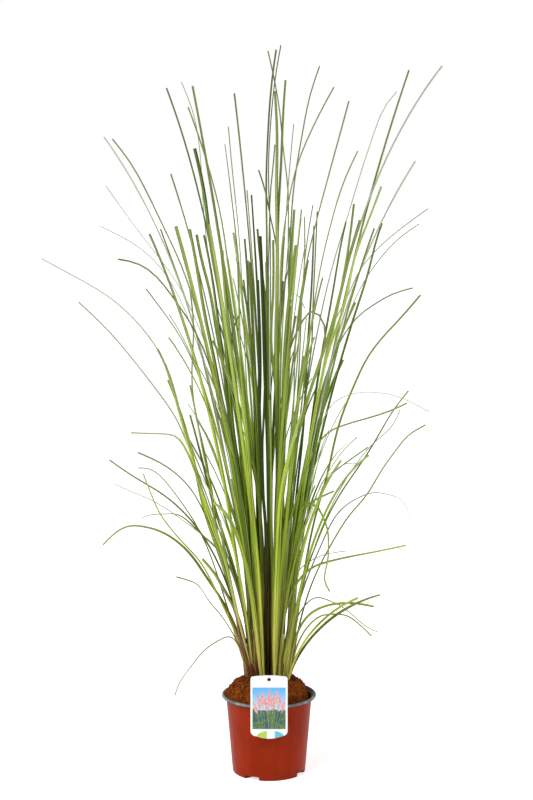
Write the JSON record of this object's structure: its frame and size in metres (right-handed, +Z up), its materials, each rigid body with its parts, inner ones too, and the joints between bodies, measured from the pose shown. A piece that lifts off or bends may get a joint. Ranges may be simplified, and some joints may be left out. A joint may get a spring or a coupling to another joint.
{
  "type": "potted pampas grass",
  "caption": "Tall clump of arching grass blades, some cut square, in a round nursery pot of mounded soil with an upright plant label.",
  "frame": {"origin": "centre of the pot's flat underside, on the surface that the pot stands on", "axes": "+Z up along the pot's axis, -Y towards the plant label, +X to the right as the label is faced"},
  "size_m": [0.8067, 0.6957, 1.449],
  "materials": {
    "pot_plastic": "satin",
    "soil": "matte",
    "label_card": "satin",
    "leaf": "satin"
  },
  "bodies": {
    "root": {"pot": "pot_plastic", "soil": "soil", "plant_label": "label_card", "leaf_01": "leaf", "leaf_02": "leaf", "leaf_03": "leaf", "leaf_04": "leaf", "leaf_05": "leaf", "leaf_06": "leaf", "leaf_07": "leaf", "leaf_08": "leaf", "leaf_09": "leaf", "leaf_10": "leaf", "leaf_11": "leaf", "leaf_12": "leaf", "leaf_13": "leaf", "leaf_14": "leaf", "leaf_15": "leaf", "leaf_16": "leaf", "leaf_17": "leaf", "leaf_18": "leaf", "leaf_19": "leaf", "leaf_20": "leaf", "leaf_21": "leaf", "leaf_22": "leaf", "leaf_23": "leaf", "leaf_24": "leaf", "leaf_25": "leaf", "leaf_26": "leaf", "leaf_27": "leaf", "leaf_28": "leaf", "leaf_29": "leaf", "leaf_30": "leaf", "leaf_31": "leaf", "leaf_32": "leaf", "leaf_33": "leaf", "leaf_34": "leaf", "leaf_35": "leaf", "leaf_36": "leaf", "leaf_37": "leaf", "leaf_38": "leaf", "leaf_39": "leaf", "leaf_40": "leaf", "leaf_41": "leaf", "leaf_42": "leaf", "leaf_43": "leaf", "leaf_44": "leaf", "leaf_45": "leaf", "leaf_46": "leaf", "leaf_47": "leaf", "leaf_48": "leaf", "leaf_49": "leaf", "leaf_50": "leaf", "leaf_51": "leaf", "leaf_52": "leaf", "leaf_53": "leaf", "leaf_54": "leaf", "leaf_55": "leaf"}
  },
  "joints": []
}
